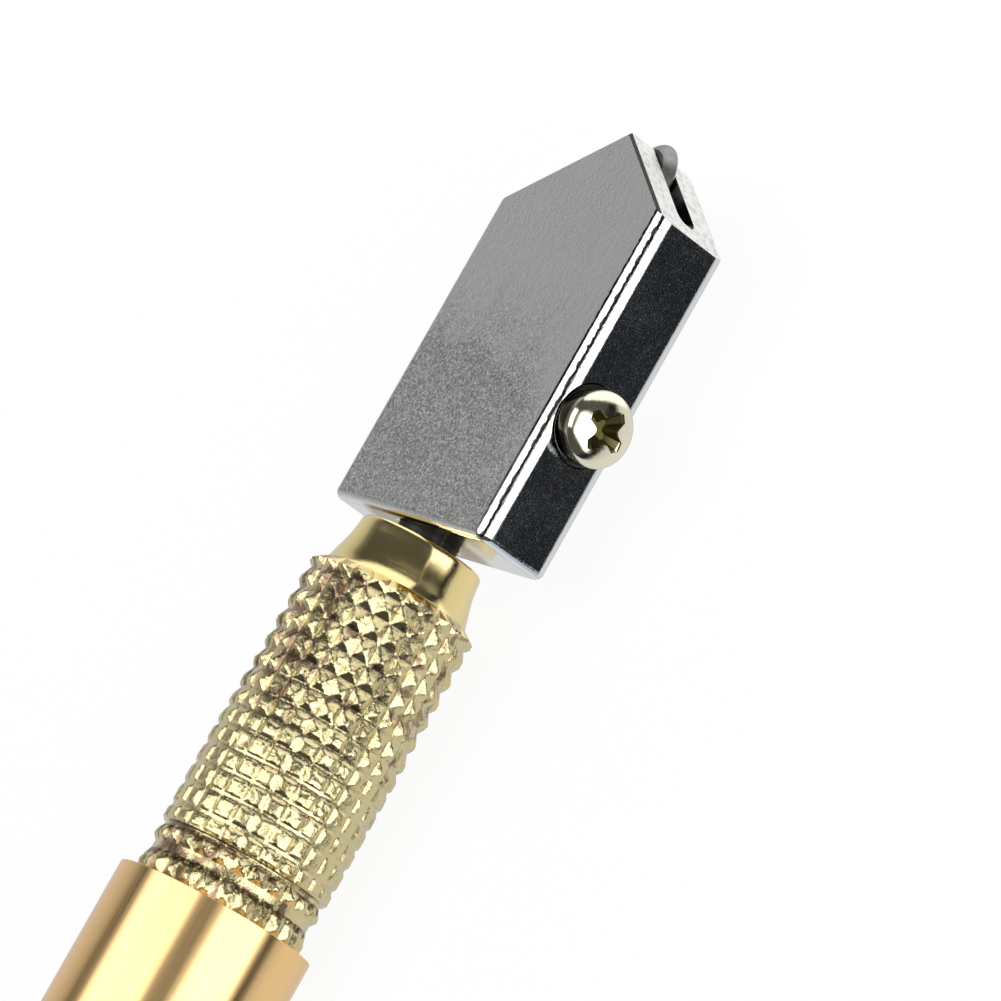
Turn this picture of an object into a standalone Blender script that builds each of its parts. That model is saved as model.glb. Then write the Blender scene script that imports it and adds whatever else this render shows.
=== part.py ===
"""Oil-fed glass cutter with a wide swivelling head.

The tool lies along X with its cutting wheel at +X and its filler cap at -X. The head's broad
faces look up and down, and its lock screw looks along -Y. The part's origin is under the middle
of its box, so the handle tube rests on z = 0. Each moving group of pieces hangs from an empty
that stands on its joint's axis. Lengths are in metres.
"""

import math

import bmesh
import bpy
from mathutils import Matrix, Vector

MM = 0.001

# ---- Driving dimensions ----------------------------------------------------------------------
OVERALL_LENGTH = 175.0 * MM

TUBE_RADIUS = 6.5 * MM
TUBE_WALL = 1.0 * MM

HEAD_WIDTH = 16.2 * MM
HEAD_THICKNESS = 5.8 * MM
HEAD_LENGTH = 27.4 * MM
SCREW_SIDE_LENGTH = 22.5 * MM
FAR_SIDE_LENGTH = 21.3 * MM
HEAD_OFFSET = 0.9 * MM
WHEEL_TRAIL = 1.6 * MM
LONG_EDGE_RADIUS = 0.8 * MM
NOSE_CHAMFER = 0.35 * MM

WHEEL_RADIUS = 2.25 * MM
WHEEL_WIDTH = 1.2 * MM
WHEEL_PROUD = 0.75 * MM
AXLE_RADIUS = 0.55 * MM

SCREW_STATION = 9.45 * MM
SCREW_HEAD_RADIUS = 2.4 * MM
SCREW_WALL = 1.35 * MM
SCREW_DOME = 0.85 * MM
SCREW_SHANK_RADIUS = 1.2 * MM
SCREW_TIP_RADIUS = 0.7 * MM
SCREW_SEAT_DEPTH = 0.3 * MM

KNURL_RADIUS = 5.65 * MM
KNURL_LENGTH = 21.6 * MM
NECK_RADIUS = 4.2 * MM
NECK_LENGTH = 3.7 * MM
NECK_GAP = 0.75 * MM
SPIGOT_LENGTH = 9.0 * MM

STEM_RADIUS = 2.0 * MM
STEM_WAIST_RADIUS = 1.6 * MM
STEM_FLANGE_RADIUS = 3.0 * MM
OIL_BORE_RADIUS = 0.9 * MM

CAP_LENGTH = 4.7 * MM
CAP_RADIUS = 6.4 * MM
CAP_SPIGOT_RADIUS = 3.3 * MM
CAP_SPIGOT_LENGTH = 4.5 * MM
BUSH_LENGTH = 10.0 * MM

SLIDING_GAP = 0.1 * MM
FIXED_GAP = 0.2 * MM
RING_WIRE_RADIUS = 0.45 * MM

# ---- Frame -----------------------------------------------------------------------------------
# Stations along the tool are measured from the head's bottom face, towards the wheel, and
# widths from the tool's axis. The head sits off that axis, towards its screw, and the wheel
# further still, so that the wheel trails behind the swivel as a caster does.
TIP_STATION = HEAD_LENGTH + WHEEL_PROUD
HEAD_BOTTOM_X = OVERALL_LENGTH / 2 - TIP_STATION
SCREW_PROUD = SCREW_WALL + SCREW_DOME - SCREW_SEAT_DEPTH + SLIDING_GAP
SCREW_SIDE_Y = -(HEAD_WIDTH / 2 + HEAD_OFFSET)
FAR_SIDE_Y = HEAD_WIDTH / 2 - HEAD_OFFSET
AXIS_Y = (SCREW_PROUD - SCREW_SIDE_Y - FAR_SIDE_Y) / 2
AXIS_Z = TUBE_RADIUS

WHEEL_STATION = TIP_STATION - WHEEL_RADIUS
SLOT_FLOOR = WHEEL_STATION - WHEEL_RADIUS - 0.35 * MM
SLOT_WIDTH = WHEEL_WIDTH + 3 * SLIDING_GAP
STEM_TOP = 12.0 * MM

LIP_STATION = -NECK_GAP
SHOULDER_STATION = LIP_STATION - NECK_LENGTH
KNURL_END = SHOULDER_STATION - KNURL_LENGTH
TUBE_FRONT = KNURL_END - 0.25 * MM
SPIGOT_END = TUBE_FRONT - SPIGOT_LENGTH
CAP_END = TIP_STATION - OVERALL_LENGTH
CAP_FRONT = CAP_END + CAP_LENGTH
TUBE_END = CAP_FRONT + 0.3 * MM
BUSH_END = TUBE_END + 1.3 * MM
BUSH_FRONT = BUSH_END + BUSH_LENGTH

SEAL_GROOVE_FRONT = -5.0 * MM
SEAL_GROOVE_BACK = -6.4 * MM
CHAMBER_FRONT = -8.6 * MM
SEAT_SHOULDER = -23.0 * MM
SEAT_FRONT = SEAT_SHOULDER - FIXED_GAP
SEAT_BACK = SEAT_FRONT - 2.8 * MM
FLANGE_FRONT = CHAMBER_FRONT - SLIDING_GAP
FLANGE_BACK = FLANGE_FRONT - 1.2 * MM
VALVE_SEAL_STATION = SEAT_BACK - SLIDING_GAP - RING_WIRE_RADIUS
CLIP_FRONT = VALVE_SEAL_STATION - RING_WIRE_RADIUS - SLIDING_GAP
CLIP_BACK = CLIP_FRONT - 0.5 * MM
STEM_END = CLIP_BACK - 0.8 * MM
GRIP_RING_STATION = TUBE_FRONT - 5.0 * MM

NECK_BORE_RADIUS = STEM_RADIUS + 1.5 * SLIDING_GAP
CHAMBER_RADIUS = 3.3 * MM
SEAT_BORE_RADIUS = 3.75 * MM
SPIGOT_RADIUS = TUBE_RADIUS - TUBE_WALL - FIXED_GAP

FINE = 48
ROUND = 32
SMALL = 20
SMOOTH_BELOW = math.radians(32)


# ---- Tools -----------------------------------------------------------------------------------
def clear_scene():
    for thing in list(bpy.data.objects):
        bpy.data.objects.remove(thing, do_unlink=True)


def make_material(name, colour, metallic, roughness):
    material = bpy.data.materials.new(name)
    material.use_nodes = True
    shader = material.node_tree.nodes["Principled BSDF"]
    shader.inputs["Base Color"].default_value = (*colour, 1.0)
    shader.inputs["Metallic"].default_value = metallic
    shader.inputs["Roughness"].default_value = roughness
    return material


def make_body(name, location):
    """The empty that a moving group of pieces hangs from, standing on its joint's axis."""
    body = bpy.data.objects.new(name, None)
    body.location = location
    body.empty_display_size = 5 * MM
    bpy.context.collection.objects.link(body)
    return body


def add_piece(name, shape, body, material):
    """Turns a bmesh into a smooth-shaded object under its body's empty."""
    bmesh.ops.recalc_face_normals(shape, faces=shape.faces)
    mesh = bpy.data.meshes.new(name)
    shape.to_mesh(mesh)
    shape.free()
    mesh.shade_smooth()
    mesh.set_sharp_from_angle(angle=SMOOTH_BELOW)
    mesh.materials.append(material)
    piece = bpy.data.objects.new(name, mesh)
    piece.parent = body
    bpy.context.collection.objects.link(piece)
    return piece


def turned(profile, segments):
    """A solid of revolution about local X from (x, radius) points.

    A profile that starts and ends at radius 0 is a full solid. Any other is a closed section,
    so the solid has a hole. The flats between its corners stand at the radius, and one of them
    faces straight down, so that the handle tube lies steadily on a table.
    """
    shape = bmesh.new()
    half_step = math.pi / segments
    rings = []
    for x, radius in profile:
        count = segments if radius > 0 else 1
        ring = []
        for step in range(count):
            angle = (2 * step + 1) * half_step
            corner = radius / math.cos(half_step)
            point = (x, corner * math.cos(angle), corner * math.sin(angle))
            ring.append(shape.verts.new(point))
        rings.append(ring)
    pairs = list(zip(rings, rings[1:]))
    if profile[0][1] > 0:
        pairs.append((rings[-1], rings[0]))
    for near, far in pairs:
        for step in range(segments):
            after = (step + 1) % segments
            corners = [near[step % len(near)], near[after % len(near)]]
            corners += [far[after % len(far)], far[step % len(far)]]
            shape.faces.new(list(dict.fromkeys(corners)))
    return shape


def ring_section(station, middle_radius, wire_radius, sides=10):
    """The (x, radius) section of an O-ring."""
    turns = [2 * math.pi * side / sides for side in range(sides)]
    return [
        (station + wire_radius * math.cos(turn), middle_radius + wire_radius * math.sin(turn))
        for turn in turns
    ]


def tube_section(start, end, inner, outer, chamfer=0.0):
    """The section of a plain ring, with its two outer edges chamfered if asked."""
    low, high = sorted((start, end))
    if chamfer == 0.0:
        return [(low, inner), (low, outer), (high, outer), (high, inner)]
    return [
        (low, inner),
        (low, outer - chamfer),
        (low + chamfer, outer),
        (high - chamfer, outer),
        (high, outer - chamfer),
        (high, inner),
    ]


def rod_profile(start, end, radius):
    return [(start, 0), (start, radius), (end, radius), (end, 0)]


def cut(piece, name, shape):
    """Cuts a bmesh, given in the piece's own space, from the piece."""
    bmesh.ops.recalc_face_normals(shape, faces=shape.faces)
    mesh = bpy.data.meshes.new(name)
    shape.to_mesh(mesh)
    shape.free()
    cutter = bpy.data.objects.new(name, mesh)
    cutter.parent = piece.parent
    cutter.hide_render = True
    cutter.display_type = "WIRE"
    bpy.context.collection.objects.link(cutter)
    modifier = piece.modifiers.new(name, "BOOLEAN")
    modifier.operation = "DIFFERENCE"
    modifier.solver = "EXACT"
    modifier.object = cutter


def rod(start, end, radius, along, centre=(0, 0, 0), segments=ROUND):
    """A cylinder along local X, Y or Z, as a bmesh."""
    shape = turned(rod_profile(start, end, radius), segments)
    turns = {
        "X": Matrix.Identity(3),
        "Y": Matrix.Rotation(math.pi / 2, 3, "Z"),
        "Z": Matrix.Rotation(-math.pi / 2, 3, "Y"),
    }
    bmesh.ops.transform(shape, matrix=turns[along].to_4x4(), verts=shape.verts)
    bmesh.ops.translate(shape, vec=centre, verts=shape.verts)
    return shape


def block(low, high):
    """A box between two corners, as a bmesh."""
    shape = bmesh.new()
    size = Vector(high) - Vector(low)
    bmesh.ops.create_cube(shape, size=1.0, matrix=Matrix.Diagonal((*size, 1.0)))
    bmesh.ops.translate(shape, vec=(Vector(high) + Vector(low)) / 2, verts=shape.verts)
    return shape


# ---- Head ------------------------------------------------------------------------------------
def head_blank():
    """The head's outline, pulled up to its thickness, with rounded long edges and a sharp nose."""
    shoulder = min(SCREW_SIDE_LENGTH, FAR_SIDE_LENGTH)
    outline = [
        (0, SCREW_SIDE_Y),
        (SCREW_SIDE_LENGTH, SCREW_SIDE_Y),
        (HEAD_LENGTH, -WHEEL_TRAIL),
        (FAR_SIDE_LENGTH, FAR_SIDE_Y),
        (0, FAR_SIDE_Y),
    ]
    shape = bmesh.new()
    floor = [shape.verts.new((x, y, -HEAD_THICKNESS / 2)) for x, y in outline]
    face = shape.faces.new(floor)
    grown = bmesh.ops.extrude_face_region(shape, geom=[face])
    lifted = [item for item in grown["geom"] if isinstance(item, bmesh.types.BMVert)]
    bmesh.ops.translate(shape, vec=(0, 0, HEAD_THICKNESS), verts=lifted)
    bmesh.ops.recalc_face_normals(shape, faces=shape.faces)

    def on_nose(edge):
        return all(vert.co.x > shoulder - MM for vert in edge.verts) and is_flat(edge)

    def is_flat(edge):
        return abs(edge.verts[0].co.z - edge.verts[1].co.z) < 0.01 * MM

    def along_tool(edge):
        return abs(edge.verts[0].co.x - edge.verts[1].co.x) > 0.5 * shoulder

    nose_edges = [edge for edge in shape.edges if on_nose(edge)]
    bmesh.ops.bevel(
        shape, geom=nose_edges, offset=NOSE_CHAMFER, segments=1, affect="EDGES", clamp_overlap=True
    )
    long_edges = [edge for edge in shape.edges if along_tool(edge)]
    bmesh.ops.bevel(
        shape,
        geom=long_edges,
        offset=LONG_EDGE_RADIUS,
        segments=4,
        profile=0.5,
        affect="EDGES",
        clamp_overlap=True,
    )
    return shape


def make_head(body, materials):
    shell = add_piece("head_shell", head_blank(), body, materials["head_metal"])
    stem_hole = STEM_RADIUS + SLIDING_GAP
    stem_hole_end = STEM_TOP + FIXED_GAP
    wick_hole = 1.1 * MM
    cut(shell, "cut_stem_bore", rod(-MM, stem_hole_end, stem_hole, "X"))
    passage = rod(stem_hole_end - MM, SLOT_FLOOR + MM, wick_hole, "X", segments=SMALL)
    cut(shell, "cut_oil_passage", passage)
    slot_half = SLOT_WIDTH / 2
    slot = block((SLOT_FLOOR, -HEAD_WIDTH, -slot_half), (HEAD_LENGTH + MM, HEAD_WIDTH, slot_half))
    cut(shell, "cut_wheel_slot", slot)
    axle_at = (WHEEL_STATION, -WHEEL_TRAIL, 0)
    axle_top = SLOT_WIDTH / 2 + 1.1 * MM
    hole_radius = AXLE_RADIUS + SLIDING_GAP
    axle_hole = rod(-HEAD_THICKNESS, axle_top + FIXED_GAP, hole_radius, "Z", axle_at, SMALL)
    cut(shell, "cut_axle_hole", axle_hole)
    screw_at = (SCREW_STATION, 0, 0)
    seat_floor = SCREW_SIDE_Y + SCREW_SEAT_DEPTH
    seat_radius = SCREW_HEAD_RADIUS + 0.15 * MM
    cut(shell, "cut_screw_seat", rod(SCREW_SIDE_Y - MM, seat_floor, seat_radius, "Y", screw_at))
    thread_radius = SCREW_SHANK_RADIUS + SLIDING_GAP
    thread = rod(SCREW_SIDE_Y, -STEM_RADIUS / 2, thread_radius, "Y", screw_at, SMALL)
    cut(shell, "cut_screw_thread", thread)

    axle = rod(-HEAD_THICKNESS / 2 + FIXED_GAP, axle_top, AXLE_RADIUS, "Z", axle_at, SMALL)
    add_piece("wheel_axle", axle, body, materials["pin_steel"])
    wick = rod(STEM_TOP + 0.5 * MM, SLOT_FLOOR - 0.1 * MM, wick_hole - SLIDING_GAP, "X", segments=SMALL)
    add_piece("head_wick", wick, body, materials["felt"])


def make_wheel(body, materials):
    """A disc turned about Z, with its rim ground to a blunt V."""
    side = WHEEL_WIDTH / 2
    bore = AXLE_RADIUS + SLIDING_GAP
    shoulder = WHEEL_RADIUS - side
    section = [(-side, bore), (-side, shoulder), (0, WHEEL_RADIUS), (side, shoulder), (side, bore)]
    shape = turned(section, ROUND)
    upright = Matrix.Rotation(-math.pi / 2, 4, "Y")
    bmesh.ops.transform(shape, matrix=upright, verts=shape.verts)
    add_piece("cutting_wheel", shape, body, materials["carbide"])


def make_screw(body, materials):
    """A pan-head screw whose dog point reaches into the stem's slot. Its seat is local y = 0."""
    seat = 0.0
    wall_end = seat - SCREW_WALL
    top = wall_end - SCREW_DOME
    to_axis = -SCREW_SIDE_Y - SCREW_SEAT_DEPTH + SLIDING_GAP
    tip = to_axis - (STEM_RADIUS - 0.45 * MM)
    shank_end = tip - 0.9 * MM
    profile = [(top, 0)]
    steps = 5
    for step in range(1, steps):
        turn = step / steps * math.pi / 2
        rise = SCREW_DOME * math.cos(turn)
        profile.append((wall_end - rise, SCREW_HEAD_RADIUS * math.sin(turn)))
    profile += [
        (wall_end, SCREW_HEAD_RADIUS),
        (seat, SCREW_HEAD_RADIUS),
        (seat, SCREW_SHANK_RADIUS),
        (shank_end, SCREW_SHANK_RADIUS),
        (shank_end + 0.3 * MM, SCREW_TIP_RADIUS),
        (tip, SCREW_TIP_RADIUS),
        (tip, 0),
    ]
    shape = turned(profile, ROUND)
    sideways = Matrix.Rotation(math.pi / 2, 4, "Z")
    bmesh.ops.transform(shape, matrix=sideways, verts=shape.verts)
    screw = add_piece("head_screw", shape, body, materials["screw_brass"])
    arm, width, depth = 1.25 * MM, 0.3 * MM, 1.0 * MM
    cut(screw, "cut_recess_a", block((-arm, top - MM, -width), (arm, top + depth, width)))
    cut(screw, "cut_recess_b", block((-width, top - MM, -arm), (width, top + depth, arm)))


# ---- Plunger ---------------------------------------------------------------------------------
def make_plunger(body, materials):
    groove = STEM_WAIST_RADIUS - 0.35 * MM
    profile = [
        (STEM_TOP, OIL_BORE_RADIUS),
        (STEM_TOP, STEM_RADIUS - 0.3 * MM),
        (STEM_TOP - 0.3 * MM, STEM_RADIUS),
        (FLANGE_FRONT, STEM_RADIUS),
        (FLANGE_FRONT, STEM_FLANGE_RADIUS),
        (FLANGE_BACK, STEM_FLANGE_RADIUS),
        (FLANGE_BACK, STEM_WAIST_RADIUS),
        (CLIP_FRONT + SLIDING_GAP / 2, STEM_WAIST_RADIUS),
        (CLIP_FRONT + SLIDING_GAP / 2, groove),
        (CLIP_BACK - SLIDING_GAP / 2, groove),
        (CLIP_BACK - SLIDING_GAP / 2, STEM_WAIST_RADIUS),
        (STEM_END, STEM_WAIST_RADIUS),
        (STEM_END, OIL_BORE_RADIUS),
    ]
    stem = add_piece("oil_stem", turned(profile, ROUND), body, materials["stem_steel"])
    port_at = (FLANGE_BACK - 3 * MM, 0, 0)
    through = 2 * STEM_RADIUS
    cut(stem, "cut_oil_port", rod(-through, through, 0.5 * MM, "Z", port_at, 12))
    half_slot = SCREW_TIP_RADIUS + 0.2 * MM
    swivel_room = SCREW_TIP_RADIUS + 0.55 * MM
    slot = block(
        (SCREW_STATION - half_slot, -2 * STEM_RADIUS, -swivel_room),
        (SCREW_STATION + half_slot, -STEM_RADIUS + 0.6 * MM, swivel_room),
    )
    cut(stem, "cut_swivel_slot", slot)

    clip = add_piece(
        "stem_clip",
        turned(tube_section(CLIP_BACK, CLIP_FRONT, groove + SLIDING_GAP / 2, 2.7 * MM), ROUND),
        body,
        materials["spring_steel"],
    )
    mouth = block((CLIP_BACK - MM, 0, -0.9 * MM), (CLIP_FRONT + MM, 4 * MM, 0.9 * MM))
    cut(clip, "cut_clip_mouth", mouth)
    seal_radius = STEM_WAIST_RADIUS + SLIDING_GAP + RING_WIRE_RADIUS
    seal = ring_section(VALVE_SEAL_STATION, seal_radius, RING_WIRE_RADIUS)
    add_piece("valve_seal", turned(seal, ROUND), body, materials["rubber"])
    wick = rod(STEM_END - 11 * MM, STEM_TOP - 0.5 * MM, OIL_BORE_RADIUS - 0.2 * MM, "X", segments=12)
    add_piece("stem_wick", wick, body, materials["cotton"])


def make_spring(body, materials):
    """A compression spring between the stem's flange and the spring seat."""
    wire = 0.3 * MM
    mean_radius = 2.55 * MM
    front = FLANGE_BACK - SLIDING_GAP - wire
    back = SEAT_FRONT + SLIDING_GAP + wire
    turns = 7
    points_per_turn = 16
    count = turns * points_per_turn + 1
    curve = bpy.data.curves.new("valve_spring", "CURVE")
    curve.dimensions = "3D"
    curve.bevel_depth = wire
    curve.bevel_resolution = 1
    curve.use_fill_caps = True
    spline = curve.splines.new("POLY")
    spline.points.add(count - 1)
    for step in range(count):
        share = step / (count - 1)
        angle = 2 * math.pi * turns * share
        x = front + (back - front) * share
        point = (x, mean_radius * math.cos(angle), mean_radius * math.sin(angle), 1.0)
        spline.points[step].co = point
    curve.materials.append(materials["spring_steel"])
    spring = bpy.data.objects.new("valve_spring", curve)
    spring.parent = body
    bpy.context.collection.objects.link(spring)


# ---- Handle ----------------------------------------------------------------------------------
def grip_outside():
    """The grip's outer (x, radius) points from the neck's lip back to the spigot's end."""
    lip = 0.15 * MM
    ring_groove = 0.65 * MM
    groove_floor = 4.25 * MM
    end_groove = KNURL_END + 0.7 * MM
    relief = 0.3 * MM
    points = [
        (LIP_STATION, NECK_RADIUS - 2 * lip),
        (LIP_STATION - lip, NECK_RADIUS - lip),
        (LIP_STATION - 1.4 * MM, NECK_RADIUS),
        (LIP_STATION - 2.1 * MM, NECK_RADIUS + 0.22 * MM),
        (SHOULDER_STATION + 0.35 * MM, NECK_RADIUS + 0.55 * MM),
        (SHOULDER_STATION + 0.2 * MM, KNURL_RADIUS - 0.75 * MM),
        (SHOULDER_STATION - 0.6 * MM, KNURL_RADIUS),
        (end_groove + 1.5 * relief, KNURL_RADIUS),
        (end_groove + 0.5 * relief, KNURL_RADIUS - relief),
        (end_groove - 0.5 * relief, KNURL_RADIUS - relief),
        (end_groove - 1.5 * relief, KNURL_RADIUS),
        (KNURL_END, KNURL_RADIUS),
        (KNURL_END - 0.1 * MM, SPIGOT_RADIUS),
        (GRIP_RING_STATION + ring_groove, SPIGOT_RADIUS),
        (GRIP_RING_STATION + ring_groove, groove_floor),
        (GRIP_RING_STATION - ring_groove, groove_floor),
        (GRIP_RING_STATION - ring_groove, SPIGOT_RADIUS),
        (SPIGOT_END + 0.5 * MM, SPIGOT_RADIUS),
        (SPIGOT_END, SPIGOT_RADIUS - 0.5 * MM),
    ]
    return points


def grip_bore():
    """The grip's stepped bore, from the spigot's end forward to the neck's lip."""
    seal_groove = STEM_RADIUS + 2 * RING_WIRE_RADIUS + 2 * SLIDING_GAP
    return [
        (SPIGOT_END, SEAT_BORE_RADIUS),
        (SEAT_SHOULDER, SEAT_BORE_RADIUS),
        (SEAT_SHOULDER, CHAMBER_RADIUS),
        (CHAMBER_FRONT, CHAMBER_RADIUS),
        (CHAMBER_FRONT, NECK_BORE_RADIUS),
        (SEAL_GROOVE_BACK, NECK_BORE_RADIUS),
        (SEAL_GROOVE_BACK, seal_groove),
        (SEAL_GROOVE_FRONT, seal_groove),
        (SEAL_GROOVE_FRONT, NECK_BORE_RADIUS),
        (LIP_STATION, NECK_BORE_RADIUS),
    ]


def make_grip(body, materials):
    shape = turned(grip_outside() + grip_bore(), FINE)
    add_piece("knurled_grip", shape, body, materials["grip_brass"])
    seal_station = (SEAL_GROOVE_FRONT + SEAL_GROOVE_BACK) / 2
    seal_radius = STEM_RADIUS + SLIDING_GAP + RING_WIRE_RADIUS
    seal = ring_section(seal_station, seal_radius, RING_WIRE_RADIUS)
    add_piece("stem_seal", turned(seal, ROUND), body, materials["rubber"])
    ring_radius = TUBE_RADIUS - TUBE_WALL - SLIDING_GAP - RING_WIRE_RADIUS
    ring = ring_section(GRIP_RING_STATION, ring_radius, RING_WIRE_RADIUS)
    add_piece("grip_o_ring", turned(ring, FINE), body, materials["rubber"])

    seat_outer = SEAT_BORE_RADIUS - 0.15 * MM
    seat_section = tube_section(SEAT_BACK, SEAT_FRONT, STEM_WAIST_RADIUS + 0.3 * MM, seat_outer)
    seat = add_piece("spring_seat", turned(seat_section, ROUND), body, materials["seat_brass"])
    slot_depth = 0.8 * MM
    slot_half = 0.5 * MM
    across = 2 * SEAT_BORE_RADIUS
    driver_slot = block(
        (SEAT_BACK - MM, -across, -slot_half),
        (SEAT_BACK + slot_depth, across, slot_half),
    )
    cut(seat, "cut_driver_slot", driver_slot)


def make_tube(body, materials):
    inner = TUBE_RADIUS - TUBE_WALL
    section = tube_section(TUBE_END, TUBE_FRONT, inner, TUBE_RADIUS, 0.25 * MM)
    add_piece("handle_tube", turned(section, FINE), body, materials["tube_rose_gold"])
    bush = [
        (BUSH_FRONT, CAP_SPIGOT_RADIUS + 0.3 * MM),
        (BUSH_FRONT, inner - FIXED_GAP),
        (BUSH_END, inner - FIXED_GAP),
        (BUSH_END, CAP_SPIGOT_RADIUS + 0.6 * MM),
        (BUSH_END + 0.3 * MM, CAP_SPIGOT_RADIUS + 0.3 * MM),
    ]
    add_piece("rear_bush", turned(bush, FINE), body, materials["seat_brass"])


def make_cap(body, materials):
    spigot_end = BUSH_END + CAP_SPIGOT_LENGTH
    chamfer = 0.6 * MM
    profile = [
        (CAP_END, 0),
        (CAP_END, CAP_RADIUS - chamfer),
        (CAP_END + chamfer, CAP_RADIUS),
        (CAP_FRONT - 0.2 * MM, CAP_RADIUS),
        (CAP_FRONT, CAP_RADIUS - 0.2 * MM),
        (CAP_FRONT, CAP_SPIGOT_RADIUS),
        (spigot_end - 0.4 * MM, CAP_SPIGOT_RADIUS),
        (spigot_end, CAP_SPIGOT_RADIUS - 0.4 * MM),
        (spigot_end, 0),
    ]
    cap = add_piece("filler_cap", turned(profile, FINE), body, materials["cap_brass"])
    slot_depth = 1.2 * MM
    slot_half = 0.75 * MM
    across = 2 * CAP_RADIUS
    coin_slot = block(
        (CAP_END - MM, -across, -slot_half),
        (CAP_END + slot_depth, across, slot_half),
    )
    cut(cap, "cut_coin_slot", coin_slot)
    ring_station = (BUSH_END + CAP_FRONT) / 2
    ring_radius = CAP_SPIGOT_RADIUS + SLIDING_GAP + RING_WIRE_RADIUS
    ring = ring_section(ring_station, ring_radius, RING_WIRE_RADIUS)
    add_piece("cap_o_ring", turned(ring, ROUND), body, materials["rubber"])


def make_materials():
    recipes = {
        "head_metal": ((0.52, 0.53, 0.52), 1.0, 0.30),
        "carbide": ((0.20, 0.20, 0.21), 1.0, 0.28),
        "pin_steel": ((0.60, 0.60, 0.60), 1.0, 0.25),
        "screw_brass": ((0.80, 0.70, 0.45), 1.0, 0.18),
        "felt": ((0.75, 0.72, 0.65), 0.0, 0.95),
        "cotton": ((0.85, 0.83, 0.78), 0.0, 0.95),
        "stem_steel": ((0.62, 0.62, 0.62), 1.0, 0.22),
        "spring_steel": ((0.55, 0.56, 0.58), 1.0, 0.30),
        "rubber": ((0.02, 0.02, 0.02), 0.0, 0.55),
        "grip_brass": ((0.83, 0.66, 0.32), 1.0, 0.22),
        "seat_brass": ((0.78, 0.60, 0.28), 1.0, 0.30),
        "cap_brass": ((0.83, 0.66, 0.32), 1.0, 0.22),
        "tube_rose_gold": ((0.86, 0.52, 0.36), 1.0, 0.15),
    }
    return {name: make_material(name, *recipe) for name, recipe in recipes.items()}


def main():
    clear_scene()
    materials = make_materials()
    on_axis = (HEAD_BOTTOM_X, AXIS_Y, AXIS_Z)
    handle = make_body("body_handle", on_axis)
    plunger = make_body("body_plunger", on_axis)
    head = make_body("body_head", on_axis)
    cap = make_body("body_cap", on_axis)
    wheel = make_body("body_wheel", (HEAD_BOTTOM_X + WHEEL_STATION, AXIS_Y - WHEEL_TRAIL, AXIS_Z))
    seat_y = AXIS_Y + SCREW_SIDE_Y + SCREW_SEAT_DEPTH - SLIDING_GAP
    screw = make_body("body_screw", (HEAD_BOTTOM_X + SCREW_STATION, seat_y, AXIS_Z))
    make_grip(handle, materials)
    make_tube(handle, materials)
    make_spring(handle, materials)
    make_plunger(plunger, materials)
    make_head(head, materials)
    make_wheel(wheel, materials)
    make_screw(screw, materials)
    make_cap(cap, materials)


main()
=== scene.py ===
"""Looks for the oil-fed glass cutter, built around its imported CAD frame.

Pieces are drawn in the tool's own space: X is the station ahead of the head's bottom face, and
Y and Z are measured from the tool's axis. Lengths are in metres.
"""

import math

import bmesh
import bpy
import numpy as np
from mathutils import Matrix, Vector


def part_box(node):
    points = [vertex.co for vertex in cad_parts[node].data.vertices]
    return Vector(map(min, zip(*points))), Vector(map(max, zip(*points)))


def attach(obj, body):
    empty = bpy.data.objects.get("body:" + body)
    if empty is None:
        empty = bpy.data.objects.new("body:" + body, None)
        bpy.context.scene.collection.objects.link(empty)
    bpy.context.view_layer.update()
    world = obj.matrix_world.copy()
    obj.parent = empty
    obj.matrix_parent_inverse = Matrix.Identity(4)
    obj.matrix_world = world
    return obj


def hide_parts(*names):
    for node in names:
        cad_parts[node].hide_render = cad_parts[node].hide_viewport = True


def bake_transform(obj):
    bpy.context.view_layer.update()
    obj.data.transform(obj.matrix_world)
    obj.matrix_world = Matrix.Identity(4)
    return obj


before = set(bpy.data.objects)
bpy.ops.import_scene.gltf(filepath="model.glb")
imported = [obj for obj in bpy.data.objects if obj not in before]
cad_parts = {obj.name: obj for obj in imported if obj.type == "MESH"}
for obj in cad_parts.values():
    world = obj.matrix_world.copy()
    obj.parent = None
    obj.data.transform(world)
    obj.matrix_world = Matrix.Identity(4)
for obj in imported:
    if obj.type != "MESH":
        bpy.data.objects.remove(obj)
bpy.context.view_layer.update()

MM = 0.001

# ---- Sizes that part.py gives the same pieces ------------------------------------------------
HEAD_WIDTH = 16.2 * MM
HEAD_THICKNESS = 5.8 * MM
HEAD_LENGTH = 27.4 * MM
SCREW_SIDE_LENGTH = 22.5 * MM
FAR_SIDE_LENGTH = 21.3 * MM
HEAD_OFFSET = 0.9 * MM
WHEEL_TRAIL = 1.6 * MM
SCREW_SIDE_Y = -(HEAD_WIDTH / 2 + HEAD_OFFSET)
FAR_SIDE_Y = HEAD_WIDTH / 2 - HEAD_OFFSET

STEM_BORE_RADIUS = 2.1 * MM
STEM_BORE_MOUTH = 2.25 * MM
STEM_BORE_END = 12.2 * MM
OIL_PASSAGE_RADIUS = 1.1 * MM
OIL_PASSAGE_START = 11.2 * MM

WHEEL_RADIUS = 2.25 * MM
WHEEL_WIDTH = 1.2 * MM
WHEEL_STATION = 25.9 * MM
SLOT_FLOOR = 23.3 * MM
SLOT_WIDTH = 1.5 * MM
AXLE_HOLE_RADIUS = 0.65 * MM
AXLE_HOLE_END = 2.05 * MM

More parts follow.
